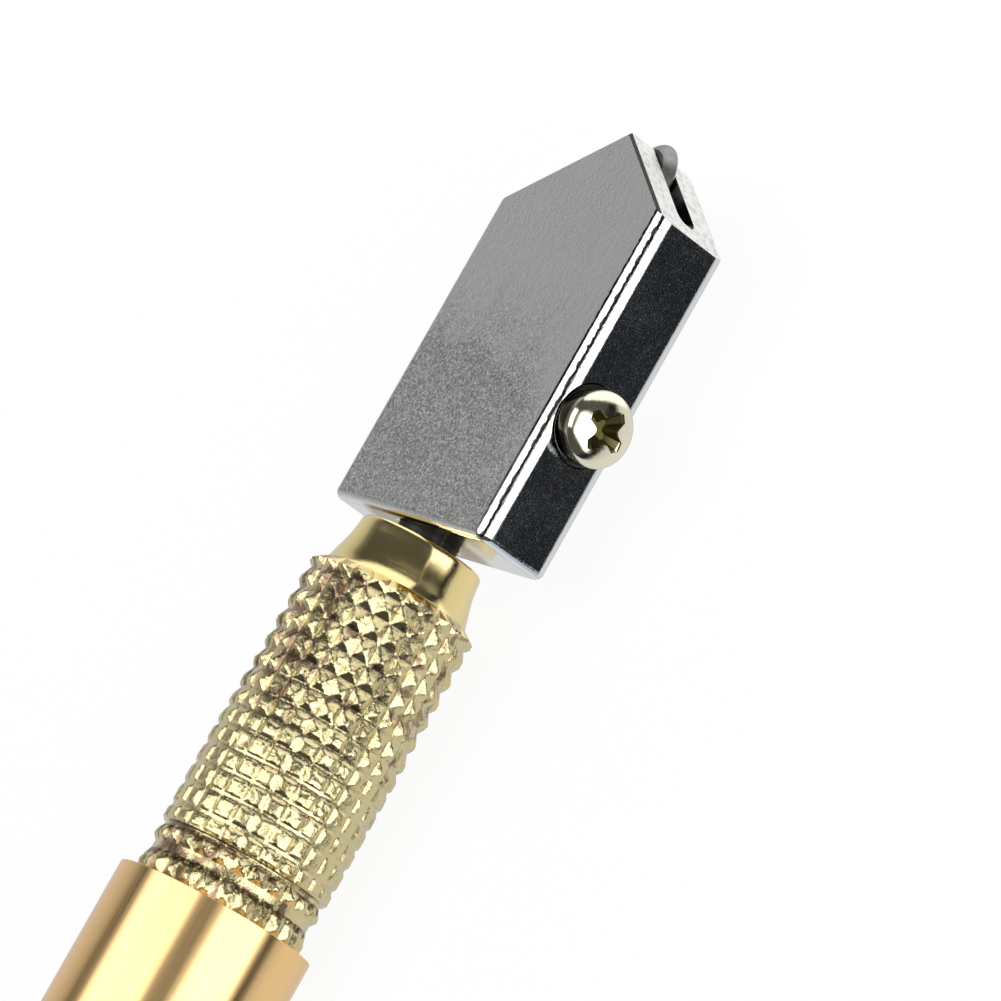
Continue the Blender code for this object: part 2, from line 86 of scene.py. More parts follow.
SCREW_STATION = 9.45 * MM
SCREW_HEAD_RADIUS = 2.4 * MM
SCREW_WALL = 1.35 * MM
SCREW_DOME = 0.85 * MM
SCREW_LENGTH = 7.25 * MM
SCREW_SHANK_RADIUS = 1.2 * MM
SCREW_TIP_RADIUS = 0.7 * MM
SCREW_HOLE_RADIUS = 1.3 * MM
SEAT_DEPTH = 0.3 * MM
SEAT_RADIUS = 2.52 * MM
SCREW_SEAT_Y = SCREW_SIDE_Y + SEAT_DEPTH - 0.1 * MM

KNURL_RADIUS = 5.65 * MM
KNURL_END = -26.05 * MM
SPIGOT_RADIUS = 5.3 * MM
SPIGOT_END = -35.3 * MM
RING_GROOVE = (-30.65 * MM, -31.95 * MM)
RING_GROOVE_RADIUS = 4.25 * MM
SEAT_THREAD_RADIUS = 3.75 * MM
CHAMBER = (-8.6 * MM, -23.0 * MM)
CHAMBER_RADIUS = 3.3 * MM
NECK_BORE_RADIUS = 2.15 * MM
SEAL_GROOVE = (-5.0 * MM, -6.4 * MM)
SEAL_GROOVE_RADIUS = 3.1 * MM

TUBE_WALL = 1.0 * MM
CAP_LENGTH = 4.7 * MM
CAP_SPIGOT_RADIUS = 3.3 * MM
COIN_SLOT_WIDTH = 1.5 * MM
COIN_SLOT_DEPTH = 1.2 * MM

# ---- Shaping of the casting ------------------------------------------------------------------
UPPER_NOSE_CHAMFER = 0.17 * MM
LOWER_NOSE_CHAMFER = 0.3 * MM
# Slices that wear the lower end of the nose's ridge round, as (slope, depth).
RIDGE_SLICES = [(-0.6, 0.35 * MM), (-1.0, 0.55 * MM), (-1.7, 0.6 * MM)]
BOTTOM_EDGE_RADIUS = 0.6 * MM
SHOULDER_RADIUS = 0.9 * MM

# ---- Knurling --------------------------------------------------------------------------------
TEETH_ROUND = 26
TOOTH_STEPS = 12
# How long each tooth's faces towards the nose and the tube are, against half its length.
NOSE_FACE = 1.22
TUBE_FACE = 0.78
# Each ring groove's station and half the width of its flat bottom, in millimetres.
EVEN_GROOVES = [(-5.12 - 1.43 * row, 0.03) for row in range(7)]
UNEVEN_GROOVES = [(-14.98, 0.06), (-16.25, 0.08), (-17.55, 0.08), (-18.92, 0.08), (-20.3, 0.08)]
END_GROOVES = [(-21.8, 0.12), (-22.95, 0.16), (-24.45, 0.26), (-26.4, 0.0)]
KNURL_START = -4.1 * MM
KNURL_DEPTH = 0.38 * MM


def tool_axis():
    """Where the head's bottom face meets the tool's axis, in the row frame."""
    head_low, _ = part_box("head_shell")
    tube_low, tube_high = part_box("handle_tube")
    middle = (tube_low + tube_high) / 2
    return Vector((head_low.x, middle.y, middle.z))


ORIGIN = tool_axis()


# ---- Mesh tools ------------------------------------------------------------------------------
def finish_piece(name, mesh, body, material, replaced, sharp_degrees=30.0):
    """Puts a mesh in the tool's space, shades it and hangs it on its CAD body."""
    mesh.materials.clear()
    mesh.materials.append(material)
    if not mesh.has_custom_normals:
        mesh.shade_smooth()
        mesh.set_sharp_from_angle(angle=math.radians(sharp_degrees))
    piece = bpy.data.objects.new(name, mesh)
    piece.location = ORIGIN
    bpy.context.scene.collection.objects.link(piece)
    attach(piece, body)
    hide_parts(replaced)
    return piece


def mesh_from(shape, name):
    """A mesh of a bmesh, which it frees, with its faces turned outwards."""
    bmesh.ops.recalc_face_normals(shape, faces=shape.faces)
    mesh = bpy.data.meshes.new(name)
    shape.to_mesh(mesh)
    shape.free()
    return mesh


def lathe(name, rings, closed):
    """A surface about X from rings of (station, radii), each with one radius or one per step.

    Closed joins the last ring to the first, as for a solid with a hole. Otherwise both ends
    are filled with a flat face.
    """
    segments = max(len(np.atleast_1d(radii)) for _, radii in rings)
    turns = np.arange(segments) * 2 * math.pi / segments
    points = []
    for station, radii in rings:
        radii = np.broadcast_to(radii, segments)
        stations = np.full(segments, station)
        points.append(np.stack([stations, radii * np.cos(turns), radii * np.sin(turns)], 1))
    near = np.arange(segments)
    far = np.roll(near, -1)
    faces = []
    last = len(rings) if closed else len(rings) - 1
    for row in range(last):
        here = row * segments
        there = (row + 1) % len(rings) * segments
        quads = np.stack([here + near, here + far, there + far, there + near], 1)
        faces.extend(quads.tolist())
    if not closed:
        faces.append(list(range(segments)))
        top = (len(rings) - 1) * segments
        faces.append(list(range(top, top + segments)))
    mesh = bpy.data.meshes.new(name)
    mesh.from_pydata(np.concatenate(points).tolist(), [], faces)
    shape = bmesh.new()
    shape.from_mesh(mesh)
    bpy.data.meshes.remove(mesh)
    return shape


def round_rings(profile, segments):
    """Rings for lathe() from (station, radius) points, with that many steps round."""
    return [(station, np.full(segments, radius)) for station, radius in profile]


def rounded(points, radius, steps=5):
    """An open (station, radius) profile with its inner corners rounded off."""
    result = [points[0]]
    for before, here, after in zip(points, points[1:], points[2:]):
        here = Vector(here)
        back = Vector(before) - here
        on = Vector(after) - here
        reach = min(radius, back.length * 0.45, on.length * 0.45)
        start = here + back.normalized() * reach
        end = here + on.normalized() * reach
        for step in range(steps + 1):
            share = step / steps
            point = start * (1 - share) ** 2 + here * 2 * share * (1 - share) + end * share**2
            result.append((point.x, point.y))
    result.append(points[-1])
    return result


def turn_to(shape, along, centre):
    """Turns a bmesh that was made about X to stand along Y or Z, at a centre."""
    turns = {
        "X": Matrix.Identity(4),
        "Y": Matrix.Rotation(math.pi / 2, 4, "Z"),
        "Z": Matrix.Rotation(-math.pi / 2, 4, "Y"),
    }
    bmesh.ops.transform(shape, matrix=turns[along], verts=shape.verts)
    bmesh.ops.translate(shape, vec=centre, verts=shape.verts)
    return shape


def rod(profile, segments, along="X", centre=(0, 0, 0)):
    """A solid bar turned from (station, radius) points, along an axis and about a centre."""
    return turn_to(lathe("rod", round_rings(profile, segments), closed=False), along, centre)


def subtract(mesh, cutters):
    """The mesh with each cutter, a bmesh, taken out of it."""
    body = bpy.data.objects.new("cut_body", mesh)
    bpy.context.scene.collection.objects.link(body)
    helpers = []
    for cutter in cutters:
        helper = bpy.data.objects.new("cutter", mesh_from(cutter, "cutter"))
        bpy.context.scene.collection.objects.link(helper)
        helpers.append(helper)
        modifier = body.modifiers.new("cut", "BOOLEAN")
        modifier.operation = "DIFFERENCE"
        modifier.solver = "EXACT"
        modifier.object = helper
    bpy.context.view_layer.update()
    graph = bpy.context.evaluated_depsgraph_get()
    result = bpy.data.meshes.new_from_object(body.evaluated_get(graph))
    for helper in helpers + [body]:
        bpy.data.objects.remove(helper)
    return result


def flat_faced(mesh):
    """The mesh with its big faces shaded flat and the narrow round ones shaded between them."""
    mesh.shade_smooth()
    mesh.set_sharp_from_angle(angle=math.radians(30))
    body = bpy.data.objects.new("flat_faced_body", mesh)
    bpy.context.scene.collection.objects.link(body)
    modifier = body.modifiers.new("weighted", "WEIGHTED_NORMAL")
    modifier.mode = "FACE_AREA"
    modifier.weight = 100
    modifier.keep_sharp = True
    bpy.context.view_layer.update()
    graph = bpy.context.evaluated_depsgraph_get()
    result = bpy.data.meshes.new_from_object(body.evaluated_get(graph))
    bpy.data.objects.remove(body)
    return result


# ---- Material tools --------------------------------------------------------------------------
class Nodes:
    """Short ways to add nodes to a node tree."""

    def __init__(self, tree):
        self.tree = tree

    def add(self, kind):
        return self.tree.nodes.new(kind)

    def put(self, socket, value):
        if isinstance(value, bpy.types.NodeSocket):
            self.tree.links.new(value, socket)
        else:
            socket.default_value = value

    def span(self, value, low, high, to_low=0.0, to_high=1.0):
        """The value from low to high, as a number from to_low to to_high, held at both ends."""
        node = self.add("ShaderNodeMapRange")
        for socket, setting in zip(node.inputs, (value, low, high, to_low, to_high)):
            self.put(socket, setting)
        return node.outputs["Result"]

    def sums(self, operation, first, second=0.0):
        node = self.add("ShaderNodeMath")
        node.operation = operation
        self.put(node.inputs[0], first)
        self.put(node.inputs[1], second)
        return node.outputs["Value"]

    def total(self, first, *others):
        for other in others:
            first = self.sums("ADD", first, other)
        return first

    def product(self, first, *others):
        """For masks, where all of them hold."""
        for other in others:
            first = self.sums("MULTIPLY", first, other)
        return first

    def any_of(self, first, *others):
        """For masks, where at least one of them holds."""
        for other in others:
            first = self.sums("MAXIMUM", first, other)
        return first

    def squares(self, first, second):
        """The sum of two squares."""
        return self.total(self.sums("POWER", first, 2.0), self.sums("POWER", second, 2.0))

    def blend(self, share, first, second):
        """One colour where the share is 0 and another where it is 1."""
        node = self.add("ShaderNodeMix")
        node.data_type = "RGBA"
        sockets = [socket for socket in node.inputs if socket.type == "RGBA"]
        self.put(node.inputs[0], share)
        for socket, tone in zip(sockets, (first, second)):
            self.put(socket, (*tone, 1.0) if isinstance(tone, tuple) else tone)
        return [socket for socket in node.outputs if socket.type == "RGBA"][0]


class Finish(Nodes):
    """A procedural material on one Principled shader, patterned in the piece's own space."""

    def __init__(self, name, metallic, roughness, colour):
        self.material = bpy.data.materials.new(name)
        self.material.use_nodes = True
        super().__init__(self.material.node_tree)
        self.shader = self.tree.nodes["Principled BSDF"]
        self.shader.inputs["Metallic"].default_value = metallic
        self.shader.inputs["Roughness"].default_value = roughness
        self.shader.inputs["Base Color"].default_value = (*colour, 1.0)
        self.place = self.add("ShaderNodeTexCoord").outputs["Object"]

    def stretched(self, scale):
        mapping = self.add("ShaderNodeMapping")
        mapping.inputs["Scale"].default_value = scale
        self.put(mapping.inputs["Vector"], self.place)
        return mapping.outputs["Vector"]

    def noise(self, size, detail=2.0, rough=0.5, stretch=(1, 1, 1)):
        """Noise whose lumps are about a size across, drawn out by stretch."""
        node = self.add("ShaderNodeTexNoise")
        scale = tuple(1 / (size * along) for along in stretch)
        self.put(node.inputs["Vector"], self.stretched(scale))
        node.inputs["Scale"].default_value = 1.0
        node.inputs["Detail"].default_value = detail
        node.inputs["Roughness"].default_value = rough
        return node.outputs["Fac"]

    def cells(self, size):
        """The distance to the nearest of scattered points about a size apart."""
        node = self.add("ShaderNodeTexVoronoi")
        self.put(node.inputs["Vector"], self.stretched((1 / size,) * 3))
        node.inputs["Scale"].default_value = 1.0
        return node.outputs["Distance"]

    def across(self, axis):
        """One coordinate of the point, in the piece's own space."""
        node = self.add("ShaderNodeSeparateXYZ")
        self.put(node.inputs["Vector"], self.place)
        return node.outputs[axis]

    def facing(self, axis):
        """One component of the surface's own normal."""
        node = self.add("ShaderNodeSeparateXYZ")
        self.put(node.inputs["Vector"], self.add("ShaderNodeTexCoord").outputs["Normal"])
        return node.outputs[axis]

    def colour(self, tone):
        self.put(self.shader.inputs["Base Color"], tone)

    def roughness(self, value):
        self.put(self.shader.inputs["Roughness"], value)

    def bump(self, height, depth, strength=1.0, under=None):
        """Raises the surface by a height pattern, up to a depth, over an earlier bump."""
        node = self.add("ShaderNodeBump")
        node.inputs["Distance"].default_value = depth
        self.put(node.inputs["Strength"], strength)
        self.put(node.inputs["Height"], height)
        if under is not None:
            self.put(node.inputs["Normal"], under)
        self.put(self.shader.inputs["Normal"], node.outputs["Normal"])
        return node.outputs["Normal"]


def head_shadows(finish, station, upward, lumps):
    """Where dark is painted on the casting: painted shade in the slot and painted dark reflections
    along lines beside its edges.
    """
    depth = finish.sums("ABSOLUTE", finish.across("Z"))
    # Painted shade: the wheel slot's walls are painted near-black.
    slot = finish.product(
        finish.span(depth, SLOT_WIDTH / 2 + 0.01 * MM, SLOT_WIDTH / 2 - 0.01 * MM),
        finish.span(station, 22.6 * MM, 22.8 * MM),
        finish.span(finish.facing("X"), 0.8, 0.3),
    )
    # Painted dark reflection: a ragged line along the middle of the long front edge's rounding.
    round_edge_painted_reflection = finish.total(finish.facing("Z"), finish.span(lumps, 0.35, 0.65, -0.05, 0.05))
    round_edge_painted_reflection = finish.product(
        finish.span(round_edge_painted_reflection, 0.585, 0.61),
        finish.span(round_edge_painted_reflection, 0.81, 0.78),
        finish.span(finish.facing("Y"), -0.45, -0.5),
    )
    # Painted dark reflection: a thin line where the broad face turns into that rounding.
    face_turn_painted_reflection = finish.total(finish.facing("Z"), finish.span(lumps, 0.35, 0.65, -0.004, 0.004))
    face_turn_painted_reflection = finish.product(
        finish.span(face_turn_painted_reflection, 0.978, 0.984),
        finish.span(face_turn_painted_reflection, 0.9985, 0.997),
        finish.span(finish.facing("Y"), -0.02, -0.05),
    )
    ahead = finish.sums("ABSOLUTE", finish.facing("X"))
    # Painted dark reflection: a ragged line along the nose's chamfers.
    rim = finish.total(upward, finish.span(lumps, 0.35, 0.65, -0.15, 0.15))
    rim = finish.product(
        finish.span(rim, 0.48, 0.56),
        finish.span(ahead, 0.4, 0.5),
        finish.span(station, 20.0 * MM, 21.0 * MM),
    )
    return finish.any_of(slot, round_edge_painted_reflection, face_turn_painted_reflection, rim)


def cast_chrome():
    """Plated die casting: smooth near the nose, grainy lower down and rough on its ends."""
    finish = Finish("cast_chrome", 1.0, 0.16, (0.63, 0.64, 0.645))
    station = finish.across("X")
    upward = finish.sums("ABSOLUTE", finish.facing("Z"))
    grain = finish.noise(0.15 * MM, 3.0, 0.65)
    lumps = finish.noise(0.4 * MM, 2.0, 0.5)
    patches = finish.noise(3.2 * MM, 3.0, 0.6)

    broad = finish.span(upward, 0.996, 0.9995)
    nose = finish.span(finish.facing("X"), 0.68, 0.78)
    nose = finish.product(nose, finish.span(upward, 0.4, 0.3))
    bottom = finish.span(finish.facing("X"), -0.7, -0.8)
    grainy = finish.total(
        finish.span(station, 8 * MM, 18 * MM, 1.0, 0.15),
        finish.span(patches, 0.35, 0.65, -0.2, 0.15),
        finish.span(finish.across("Y"), -3 * MM, -8 * MM, 0.0, -0.35),
    )
    cast = finish.product(broad, grainy)
    off_axis = finish.squares(finish.across("Y"), finish.across("Z"))
    # Painted shade and painted reflection of the brass neck: the bottom face is painted brown
    # close round the neck.
    neck_shade_and_reflection = finish.product(finish.span(off_axis, (5.0 * MM) ** 2, (4.0 * MM) ** 2), bottom)
    dark = head_shadows(finish, station, upward, lumps)

    blotched = finish.span(patches, 0.35, 0.7)
    smooth = finish.blend(blotched, (0.58, 0.64, 0.72), (0.66, 0.70, 0.74))
    plating = finish.blend(finish.span(upward, 0.1, 0.25), smooth, (0.78, 0.79, 0.77))
    flecks = finish.span(grain, 0.34, 0.68)
    speckled = finish.blend(flecks, (0.16, 0.165, 0.16), (0.66, 0.67, 0.65))
    plating = finish.blend(finish.span(cast, 0.25, 0.8), plating, speckled)
    pits = finish.span(lumps, 0.32, 0.55)
    pitted = finish.blend(pits, (0.66, 0.665, 0.645), (0.88, 0.89, 0.86))
    plating = finish.blend(nose, plating, pitted)
    plating = finish.blend(bottom, plating, (0.90, 0.91, 0.92))
    plating = finish.blend(neck_shade_and_reflection, plating, (0.30, 0.23, 0.12))
    # Painted shade and painted dark reflections: near-black wherever head_shadows holds.
    finish.colour(finish.blend(dark, plating, (0.04, 0.04, 0.038)))

    polish = finish.total(
        finish.span(broad, 0.0, 1.0, 0.05, 0.15),
        finish.span(patches, 0.3, 0.7, 0.0, 0.04),
        finish.span(nose, 0.0, 1.0, 0.0, 0.34),
    )
    finish.roughness(polish)
    grained = finish.any_of(finish.span(cast, 0.0, 1.0, 0.09, 0.9), nose)
    edges = finish.product(finish.span(upward, 0.05, 0.2), finish.span(upward, 0.99, 0.9))
    first = finish.bump(grain, 0.09 * MM, grained)
    finish.bump(lumps, 0.03 * MM, finish.span(edges, 0.0, 1.0, 0.2, 0.7), first)
    return finish.material


def polished_rose_gold():
    """Lacquered drawn tube with faint lengthwise draw marks."""
    finish = Finish("polished_rose_gold", 1.0, 0.12, (0.95, 0.63, 0.29))
    streaks = finish.noise(0.25 * MM, 3.0, 0.6, (60, 1, 1))
    tint = finish.span(finish.noise(4 * MM, 2.0, 0.5, (6, 1, 1)), 0.3, 0.7)
    specks = finish.span(finish.cells(1.6 * MM), 0.03, 0.06)
    finish.colour(finish.blend(tint, (0.94, 0.61, 0.275), (0.96, 0.655, 0.31)))
    finish.roughness(finish.span(streaks, 0.3, 0.75, 0.14, 0.25))
    first = finish.bump(streaks, 0.004 * MM, 0.35)
    finish.bump(specks, 0.006 * MM, 0.4, first)
    return finish.material


def behind_rings(finish, station):
    """Where the grip lies just behind one of its last two rings."""
    found = 0.0
    for front, back in ((-23.15, -23.7), (-24.75, -25.3)):
        inside = finish.span(station, front * MM, (front - 0.1) * MM)
        inside = finish.product(inside, finish.span(station, back * MM, (back + 0.15) * MM))
        found = finish.any_of(inside, found)
    return found


def knurled_brass():
    """Pale brass plating: crumpled on the knurl, with stain patches that are also painted shade in
    its low places and on its top side, and painted shade in the low places of its last rows.
    """
    finish = Finish("knurled_brass", 1.0, 0.3, (0.92, 0.77, 0.41))
    station = finish.across("X")
    grain = finish.noise(0.12 * MM, 3.0, 0.65)
    crumple = finish.noise(0.34 * MM, 3.0, 0.6)
    rings = finish.noise(0.09 * MM, 2.0, 0.5, (1, 80, 80))
    stains = finish.noise(1.3 * MM, 3.0, 0.6)

    knurl = finish.span(station, -4.0 * MM, -4.4 * MM)
    square = finish.squares(finish.across("Y"), finish.across("Z"))
    radius = finish.sums("POWER", square, 0.5)
    low = finish.product(finish.span(radius, 5.52 * MM, 5.42 * MM), knurl)
    deep = finish.span(radius, 5.26 * MM, 5.22 * MM)
    # Painted shade: the low places just behind the last two rings are painted near-black brown.
    dark = finish.product(finish.sums("SUBTRACT", low, deep), behind_rings(finish, station))
    dark = finish.product(dark, finish.span(crumple, 0.36, 0.5))
    # Stain patches and painted shade: the brown is kept to the low places and grows towards the
    # top side.
    top_side_shade = finish.span(finish.across("Z"), 3.4 * MM, 5.2 * MM, 0.0, 0.1)
    stain_and_shade = finish.span(finish.total(stains, top_side_shade), 0.55, 0.63)
    stain_and_shade = finish.product(stain_and_shade, finish.product(low, 0.85))

    crests = finish.blend(knurl, (0.93, 0.76, 0.36), (0.70, 0.60, 0.33))
    gold = finish.blend(finish.product(deep, knurl), crests, (0.74, 0.59, 0.27))
    stained_and_shaded = finish.blend(stain_and_shade, gold, (0.24, 0.15, 0.10))
    finish.colour(finish.blend(dark, stained_and_shaded, (0.13, 0.08, 0.035)))
    matt = finish.span(knurl, 0.0, 1.0, 0.10, 0.12)
    finish.roughness(finish.total(matt, finish.span(grain, 0.3, 0.7, -0.02, 0.06)))
    first = finish.bump(rings, 0.006 * MM, 0.3)
    second = finish.bump(crumple, 0.12 * MM, finish.span(knurl, 0.0, 1.0, 0.03, 0.3), first)
    finish.bump(grain, 0.05 * MM, finish.span(knurl, 0.0, 1.0, 0.08, 0.35), second)
    return finish.material


def champagne_plate():
    """The screw's pale nickel-brass plating, with painted shade down in its cross recess and on
    its head's wall by the seat.
    """
    finish = Finish("champagne_plate", 1.0, 0.12, (0.86, 0.82, 0.64))
    wall_top = SCREW_SEAT_Y - SCREW_WALL
    top = wall_top - SCREW_DOME
    sideways = finish.sums("SUBTRACT", finish.across("X"), SCREW_STATION)
    square = finish.squares(sideways, finish.across("Z"))
    sagged = finish.product(square, SCREW_DOME / SCREW_HEAD_RADIUS**2)
    below = finish.sums("SUBTRACT", finish.sums("SUBTRACT", finish.across("Y"), top), sagged)
    deep = finish.span(below, 0.06 * MM, 0.14 * MM)
    recess = finish.product(deep, finish.span(square, (1.9 * MM) ** 2, (1.8 * MM) ** 2))
    grain = finish.noise(0.3 * MM, 3.0, 0.6)
    # Painted shade: the head's wall down by the seat, and the shank below it, are painted
    # near-black.
    painted_wall_shade = finish.span(finish.across("Y"), wall_top + 0.05 * MM, wall_top + 0.35 * MM)
    plate = finish.blend(painted_wall_shade, (0.86, 0.82, 0.64), (0.07, 0.06, 0.04))
    # Painted shade: the cross recess is painted dark olive.
    finish.colour(finish.blend(recess, plate, (0.22, 0.19, 0.08)))
    polish = finish.span(grain, 0.3, 0.7, 0.08, 0.16)
    finish.roughness(finish.total(polish, finish.span(recess, 0.0, 1.0, 0.0, 0.32)))
    finish.bump(grain, 0.02 * MM, 0.35)
    return finish.material


def ground_carbide():
    """Sintered carbide with grinding marks round the wheel."""
    finish = Finish("ground_carbide", 1.0, 0.3, (0.25, 0.25, 0.24))
    grain = finish.noise(0.12 * MM, 3.0, 0.65)
    patches = finish.noise(0.7 * MM, 2.0, 0.5)
    flat = finish.span(finish.sums("ABSOLUTE", finish.facing("Z")), 0.75, 0.95)
    tone = finish.blend(patches, (0.14, 0.14, 0.135), (0.38, 0.38, 0.37))
    finish.colour(finish.blend(flat, tone, (0.12, 0.12, 0.115)))
    finish.roughness(finish.span(grain, 0.3, 0.7, 0.26, 0.42))
    finish.bump(grain, 0.015 * MM, 0.5)
    return finish.material


def turned_brass():
    """Lacquered turned brass for the cap and the parts inside."""
    finish = Finish("turned_brass", 1.0, 0.18, (0.93, 0.74, 0.38))
    grain = finish.noise(0.3 * MM, 3.0, 0.6)
    tarnish = finish.span(finish.noise(1.6 * MM, 3.0, 0.6), 0.45, 0.75)
    finish.colour(finish.blend(tarnish, (0.94, 0.76, 0.41), (0.80, 0.59, 0.26)))
    finish.roughness(finish.span(grain, 0.3, 0.7, 0.13, 0.25))
    finish.bump(grain, 0.012 * MM, 0.3)
    return finish.material


def machined_steel(name, tone, roughness):
    """Turned or drawn steel with a fine grain."""
    finish = Finish(name, 1.0, roughness, (tone, tone, tone))
    grain = finish.noise(0.2 * MM, 3.0, 0.6)
    patches = finish.noise(1.4 * MM, 2.0, 0.5)
    finish.colour(finish.blend(patches, (tone * 0.92,) * 3, (tone, tone, tone * 1.01)))
    finish.roughness(finish.span(grain, 0.3, 0.7, roughness * 0.8, roughness * 1.3))
    finish.bump(grain, 0.01 * MM, 0.35)
    return finish.material


def black_rubber():
    finish = Finish("black_rubber", 0.0, 0.5, (0.02, 0.02, 0.02))
    dust = finish.noise(0.25 * MM, 3.0, 0.6)
    finish.colour(finish.blend(dust, (0.014, 0.014, 0.014), (0.035, 0.034, 0.032)))
    finish.roughness(finish.span(dust, 0.3, 0.7, 0.42, 0.62))
    finish.bump(dust, 0.02 * MM, 0.4)
    return finish.material


def fibre(name, light, dark):
    """Felt or cotton: matt strands that run along the wick."""
    finish = Finish(name, 0.0, 0.95, light)
    strands = finish.noise(0.12 * MM, 4.0, 0.7, (8, 1, 1))
    finish.colour(finish.blend(finish.span(strands, 0.3, 0.7), dark, light))
    finish.roughness(finish.span(strands, 0.3, 0.7, 0.85, 1.0))
    finish.bump(strands, 0.05 * MM, 0.8)
    return finish.material


# ---- Head ------------------------------------------------------------------------------------
def slice_off(shape, normal, reach):
    """Cuts away what lies further than a reach along a normal, and closes the cut."""
    normal = Vector(normal).normalized()
    geometry = shape.verts[:] + shape.edges[:] + shape.faces[:]
    cut = bmesh.ops.bisect_plane(
        shape, geom=geometry, dist=1e-7, plane_co=normal * reach, plane_no=normal, clear_outer=True
    )
    edges = [item for item in cut["geom_cut"] if isinstance(item, bmesh.types.BMEdge)]
    if edges:
        bmesh.ops.contextual_create(shape, geom=edges)


def corner_points(low_turn, radii):
    """A quarter turn of (y, z) points from a bearing, with radii in millimetres spread over it."""
    steps = 28
    points = [Vector((0.0, 0.0))]
    for step in range(steps):
        share = (step + 0.5) / steps
        turn = math.radians(low_turn + 90 * share)
        radius = float(np.interp(share, np.linspace(0, 1, len(radii)), radii)) * MM
        stride = radius * math.pi / 2 / steps
        points.append(points[-1] + stride * Vector((-math.sin(turn), math.cos(turn))))
    return points


def head_outline():
    """The head's cross-section as (y, z) points: its long front top edge has a tight middle."""
    half = HEAD_THICKNESS / 2
    corners = [
        (FAR_SIDE_Y, half, 0, [0.4]),
        (SCREW_SIDE_Y, half, 90, [1.4, 1.4, 0.65, 0.65, 0.75, 1.1, 1.1, 1.1]),
        (SCREW_SIDE_Y, -half, 180, [0.9]),
        (FAR_SIDE_Y, -half, 270, [0.5]),
    ]
    outline = []
    for across, up, low_turn, radii in corners:
        points = corner_points(low_turn, radii)
        sides = [point.x for point in points]
        levels = [point.y for point in points]
        side = max(sides) if across > 0 else min(sides)
        level = max(levels) if up > 0 else min(levels)
        shift = Vector((across - side, up - level))
        outline += [point + shift for point in points]
    return outline


def section_reach(outline, direction):
    """How far the head's cross-section reaches in a (y, z) direction."""
    return max(direction.dot(point) for point in outline)


def nose_directions():
    """The (x, y) directions and reaches of the two nose facets and the rounded far shoulder."""
    apex = Vector((HEAD_LENGTH, -WHEEL_TRAIL))
    shoulder = Vector((FAR_SIDE_LENGTH, FAR_SIDE_Y))
    right_edge = apex - Vector((SCREW_SIDE_LENGTH, SCREW_SIDE_Y))
    left_edge = shoulder - apex
    right = Vector((right_edge.y, -right_edge.x)).normalized()
    left = Vector((left_edge.y, -left_edge.x)).normalized()
    found = [(right, right.dot(apex)), (left, left.dot(apex))]
    side = Vector((0.0, 1.0))
    spread = left.angle(side)
    inset = shoulder - (left + side) * SHOULDER_RADIUS / (1 + left.dot(side))
    for step in range(1, 7):
        turn = Matrix.Rotation(spread * step / 7, 2)
        direction = turn @ left
        found.append((direction, direction.dot(inset) + SHOULDER_RADIUS))
    return found


def head_blank():
    """The head before its holes: a rounded bar with a chamfered nose and rounded bottom edges."""
    outline = head_outline()
    shape = bmesh.new()
    floor = shape.faces.new([shape.verts.new((0.0, point.x, point.y)) for point in outline])
    grown = bmesh.ops.extrude_face_region(shape, geom=[floor])
    lifted = [item for item in grown["geom"] if isinstance(item, bmesh.types.BMVert)]
    bmesh.ops.translate(shape, vec=(HEAD_LENGTH + MM, 0, 0), verts=lifted)
    bmesh.ops.recalc_face_normals(shape, faces=shape.faces)

    half = HEAD_THICKNESS / 2
    for direction, reach in nose_directions():
        slice_off(shape, (*direction, 0.0), reach)
    for direction, reach in nose_directions():
        for up, chamfer in ((1, UPPER_NOSE_CHAMFER), (-1, LOWER_NOSE_CHAMFER)):
            normal = (direction.x, direction.y, up)
            slice_off(shape, normal, (reach + half - chamfer) / math.sqrt(2))
    for slope, depth in RIDGE_SLICES:
        normal = Vector((1.0, 0.0, slope))
        slice_off(shape, normal, (HEAD_LENGTH - slope * half - depth) / normal.length)
    edge = BOTTOM_EDGE_RADIUS
    for step in range(24):
        turn = math.radians(15 * step)
        direction = Vector((math.cos(turn), math.sin(turn)))
        inner = section_reach(outline, direction) - edge
        for lean in (22.5, 45.0, 67.5):
            lean = math.radians(lean)
            normal = (-math.sin(lean), math.cos(lean) * direction.x, math.cos(lean) * direction.y)
            slice_off(shape, normal, math.cos(lean) * inner + (1 - math.sin(lean)) * edge)
    return shape


def wheel_slot():
    """The cutter for the wheel's slot, with its inner end rounded."""
    half = SLOT_WIDTH / 2
    shape = bmesh.new()
    size = (HEAD_LENGTH + MM - SLOT_FLOOR, 2 * HEAD_WIDTH, SLOT_WIDTH)
    bmesh.ops.create_cube(shape, size=1.0, matrix=Matrix.Diagonal((*size, 1.0)))
    bmesh.ops.translate(shape, vec=(SLOT_FLOOR + size[0] / 2, 0, 0), verts=shape.verts)
    inner = []
    for edge in shape.edges:
        first, last = (vert.co for vert in edge.verts)
        if max(first.x, last.x) < SLOT_FLOOR + 0.1 * MM and abs(first.y - last.y) > half:
            inner.append(edge)
    bmesh.ops.bevel(shape, geom=inner, offset=0.55 * MM, segments=6, profile=0.5, affect="EDGES")
    return shape


